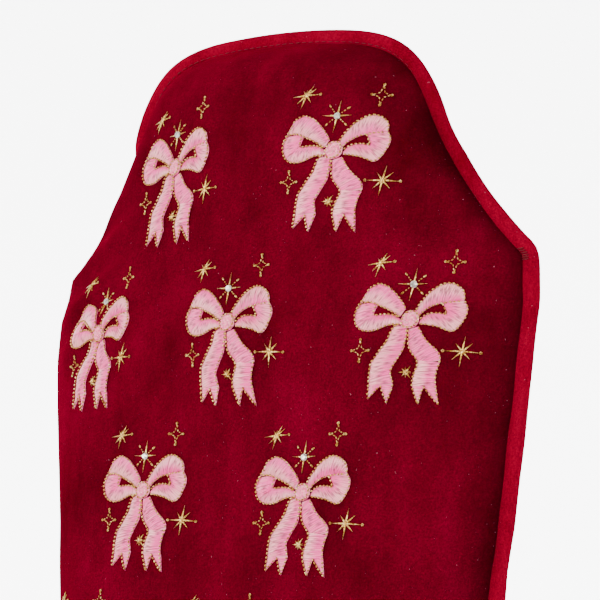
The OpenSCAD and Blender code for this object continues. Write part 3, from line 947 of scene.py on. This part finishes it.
def couching(pile, bow, line, lift=1.0, step=1.5):
    """A line of twisted gold thread: short slanted beads end to end."""
    path = resample(line, step=step / BOW_W * 0.5)
    up = bow.out(path[len(path) // 2])
    p = bow.on(path, np.full(len(path), lift))
    side = np.cross(np.gradient(p, axis=0), up)
    side /= np.maximum(np.linalg.norm(side, axis=1, keepdims=True), 1e-9)
    for k in range(0, len(path) - 2, 2):
        reach = rng.uniform(0.58, 0.76)
        a = p[k] - side[k] * 0.2 + up * rng.normal(0, 0.05)
        b = p[k] + (p[k + 2] - p[k]) * reach + side[k] * 0.2
        pts, faces = capsule(a, b, 0.70, 0.74, up, sides=6, rings=(0.0, 0.25, 0.75, 1.0), ends=0.3)
        pile.add(pts, faces)


def ray(pile, bow, a, b, wide=0.55, lift=0.45):
    """One straight stitch from a to b, tapering to its ends."""
    pts = bow.on(np.array([a, b]), np.array([lift + 0.25, lift]))
    up = bow.out(a)
    p, f = capsule(pts[0], pts[1], wide, 0.5, up, sides=5, rings=(0.0, 0.2, 0.6, 1.0), ends=0.25)
    pile.add(p, f)


def bead_loop(pile, bow, centre, size=0.016):
    """A tiny ring of gold stitches."""
    for k in range(5):
        turns = (2 * math.pi * k / 5, 2 * math.pi * (k + 0.85) / 5)
        a, b = ((centre[0] + size * math.cos(t), centre[1] + size * math.sin(t)) for t in turns)
        ray(pile, bow, a, b, 0.5, 0.5)


def star(pile, bow, at, rays, beads=()):
    """Rays of gold thread from a point: each ray's angle and length in bow widths."""
    for k, (angle, size) in enumerate(rays):
        t = math.radians(angle)
        way = np.array((math.cos(t), math.sin(t)))
        off = np.array((-way[1], way[0]))
        for shift, reach in ((-0.005, 0.7), (0.0, 1.0), (0.005, 0.8)):
            a = at + off * shift - way * 0.02
            b = at + off * shift * 0.4 + way * size * reach
            ray(pile, bow, a, b, 0.36, 0.45)
        if k in beads:
            bead_loop(pile, bow, at + way * size, 0.010)


def flake(pile, bow, at):
    """A star with thin upright rays and four slanted rows of beads round a stone."""
    star(pile, bow, at, [(4, 0.125), (86, 0.145), (178, 0.14), (262, 0.15)])
    for angle in (38, 131, 222, 319):
        t = math.radians(angle)
        way = np.array((math.cos(t), math.sin(t)))
        for near, far, wide in ((0.045, 0.06, 0.5), (0.07, 0.088, 0.55), (0.10, 0.135, 0.8)):
            ray(pile, bow, at + way * near, at + way * far, wide, 0.5)


def sparkle(pile, bow, at, wide=0.08, high=0.095):
    """An open four-point diamond of running stitches, with a bead at each point."""
    tips = [(wide, 0), (0, high), (-wide, 0), (0, -high)]
    for k in range(4):
        a, b = np.array(tips[k]), np.array(tips[(k + 1) % 4])
        bay = (a + b) * 0.22
        for p, q in ((a * 0.92, bay), (bay, b * 0.92)):
            for t in (0.0, 0.52):
                s, e = p + (q - p) * t, p + (q - p) * (t + 0.36)
                ray(pile, bow, tuple(s + at), tuple(e + at), 0.44, 0.4)
    for tip in tips:
        bead_loop(pile, bow, (at[0] + tip[0], at[1] + tip[1]), 0.009)


def crystal(pile, bow, at, radius=1.4):
    """A cut stone: girdle, crown facets and a flat table."""
    base = bow.on(np.array([at, at]), np.array([0.5, 1.5]))
    up = base[1] - base[0]
    side = np.cross(up, (0, 0, 1.0))
    side /= np.linalg.norm(side)
    other = np.cross(side, up)
    pts = []
    cuts = 8
    for r, h, turn in ((1.0, 0.1, 0), (1.0, 0.45, 0), (0.62, 1.05, 0.39)):
        for k in range(cuts):
            t = 2 * math.pi * k / cuts + turn
            pts.append(base[0] + (side * math.cos(t) + other * math.sin(t)) * radius * r + up * h)
    faces = grid_faces(2, cuts, wrap=True)
    for k in range(cuts, 2 * cuts):
        n = cuts + (k + 1) % cuts
        faces += [(k, n, cuts + k), (n, cuts + n, cuts + k)]
    faces += [tuple(range(2 * cuts, 3 * cuts)), tuple(reversed(range(cuts)))]
    pile.add(pts, faces)


# Each bow's knot, sideways and up from its place in the grid in bow widths, then how its
# cloth is pulled: widened, slanted sideways with height, tilted, and made taller. Most of
# these are a least-squares fit to the photo, rounded.
SHIFTS = {
    (0, 0): (0.06, 0.00, 0.85, 0.05, 0.08, 1.01),
    (0, 1): (0.08, 0.01, 1.08, 0.09, -0.05, 1.01),
    (1, 0): (0.18, -0.03, 0.76, 0.11, 0.05, 0.98),
    (1, 1): (0.0, -0.01, 0.96, -0.07, 0.0, 1.02),
    (1, 2): (0.04, -0.03, 0.98, 0.07, 0.0, 0.99),
    (2, 0): (-0.04, 0.01, 1.05, 0.08, -0.01, 0.99),
    (2, 1): (-0.05, -0.01, 0.98, 0.08, 0.0, 0.98),
}
# Rows of bows from the top down; the first ones reach above the fold
FLAP_ROWS = 2
for row in range(5):
    count = 2 if row % 2 == 0 else 3
    gold_pile, star_pile, stones = Pile(), Pile(), Pile()
    satin = []
    for k in range(count):
        dx, dz, wide, slant, tilt, tall = SHIFTS.get((row, k), (-0.03, 0.0, 1.0, 0.08, 0.0, 1.0))
        u = (k - (count - 1) / 2) * BOW_GAP + dx * BOW_W
        bow = Bow(u, ROW_TOP_Z - row * ROW_GAP + dz * BOW_W, ((wide, slant), (tilt, tall)))
        pile = Pile()
        for j, band in enumerate(RIBBONS):
            ribbon(pile, bow, band, 0.12 + 0.05 * (j % 3) + 0.18 * (j == FOLD_BAND))
        knot(pile, bow)
        name = "bow_%d%s" % (row + 1, "abc"[k])
        obj = pile.build(name + "_stitching", SATIN)
        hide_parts(name)
        satin.append(obj)
        for line in GOLD_LINES[:-1]:
            couching(gold_pile, bow, line)
        couching(gold_pile, bow, GOLD_LINES[-1], lift=1.5)
        star(star_pile, bow, np.array((-0.36, 0.507)), STAR_LEFT, (1,))
        flake(star_pile, bow, np.array((-0.04, 0.316)))
        star(star_pile, bow, np.array((0.437, -0.256)), STAR_RIGHT, (0, 4))
        star(star_pile, bow, np.array((-0.039, -0.443)), STAR_SMALL)
        sparkle(star_pile, bow, np.array((0.302, 0.514)))
        sparkle(star_pile, bow, np.array((-0.457, -0.262)))
        crystal(stones, bow, (-0.04, 0.315))
    done = []
    for heap, name, node, material, slot in (
        (gold_pile, "gold_outline", "gold_row", GOLD, "gold_thread"),
        (star_pile, "gold_stars", "stars_row", GOLD, "gold_thread"),
        (stones, "stones", "crystals_row", CRYSTAL, "crystal"),
    ):
        obj = heap.build("%s_%d" % (name, row + 1), material)
        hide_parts("%s_%d" % (node, row + 1))
        done.append(obj)
    # the stones keep their flat facets
    done[-1].data.polygons.foreach_set("use_smooth", [False] * len(done[-1].data.polygons))
    for obj in satin + done:
        if row < FLAP_ROWS:
            bend(obj)
        else:
            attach(obj, "bag")


# ---------------------------------------------------------------- studio
def studio():
    """A pale floor inside a wide, low, round white wall, with soft lamps."""
    floor_mat = cloth_material("studio_floor", "#ececec", "#f4f4f4", 300, 0.95, 0.0)
    wall_mat = cloth_material("studio_wall", "#f4f4f4", "#fafafa", 300, 0.95, 0.0)
    shader = wall_mat.node_tree.nodes["Principled BSDF"]
    shader.inputs["Emission Color"].default_value = (1, 1, 1, 1)
    shader.inputs["Emission Strength"].default_value = 6.0
    radius, count, low, high = 9000, 96, -0.2, 3000
    for name, rings, material in (
        ("studio_floor", [(20, low), (1500, low), (radius, low)], floor_mat),
        ("studio_wall", [(radius, low), (radius, high / 2), (radius, high)], wall_mat),
    ):
        pts = []
        for r, z in rings:
            turn = [2 * math.pi * k / count for k in range(count)]
            pts += [(r * math.cos(t), r * math.sin(t), z) for t in turn]
        faces = grid_faces(len(rings), count, wrap=True)
        if name == "studio_floor":
            faces.append(tuple(range(count)))
        make(name, pts, faces, material)

    def lamp(name, where, aim, size, power, colour=(1, 1, 1)):
        """A soft lamp, in metres and watts."""
        data = bpy.data.lights.new(name, "AREA")
        data.shape = "RECTANGLE"
        data.size, data.size_y = size
        data.energy = power
        data.color = colour
        obj = bpy.data.objects.new(name, data)
        obj.location = where
        to = Vector(aim) - Vector(where)
        obj.rotation_euler = to.to_track_quat("-Z", "Y").to_euler()
        bpy.context.scene.collection.objects.link(obj)

    lamp("key", (-0.9, -1.1, 1.0), (0, 0, 0.22), (0.9, 0.9), 12, (1, 0.98, 0.95))
    lamp("fill", (1.5, -1.2, 0.7), (0, 0, 0.2), (1.4, 1.4), 10, (0.98, 0.98, 1))
    lamp("rim", (-1.0, 0.5, 0.7), (0, 0, 0.25), (0.6, 0.9), 5)
    lamp("top", (0.1, -0.1, 1.7), (0, 0, 0.2), (1.2, 1.2), 2)
    world = bpy.data.worlds.new("studio")
    world.use_nodes = True
    sky = world.node_tree.nodes["Background"]
    sky.inputs["Color"].default_value = (1, 1, 1, 1)
    sky.inputs["Strength"].default_value = 0.35
    bpy.context.scene.world = world


def camera():
    """Low, from the front right, turned a little so that the bag leans as it was seen.

    The place, turn and lens were fitted to the photo by a script."""
    ahead = Vector((-0.62255, 0.77100, 0.13415)).normalized()
    up = Vector((0.04532, -0.13561, 0.98973))
    right = ahead.cross(up).normalized()
    up = right.cross(ahead).normalized()
    data = bpy.data.cameras.new("camera")
    data.sensor_width = 36
    data.lens = 160.4
    data.clip_start, data.clip_end = 0.05, 50
    obj = bpy.data.objects.new("camera", data)
    turn = Matrix((right, up, -ahead)).transposed().to_4x4()
    obj.matrix_world = Matrix.Translation((0.6378, -0.7915, 0.1206)) @ turn
    bpy.context.scene.collection.objects.link(obj)
    bpy.context.scene.camera = obj


studio()
camera()
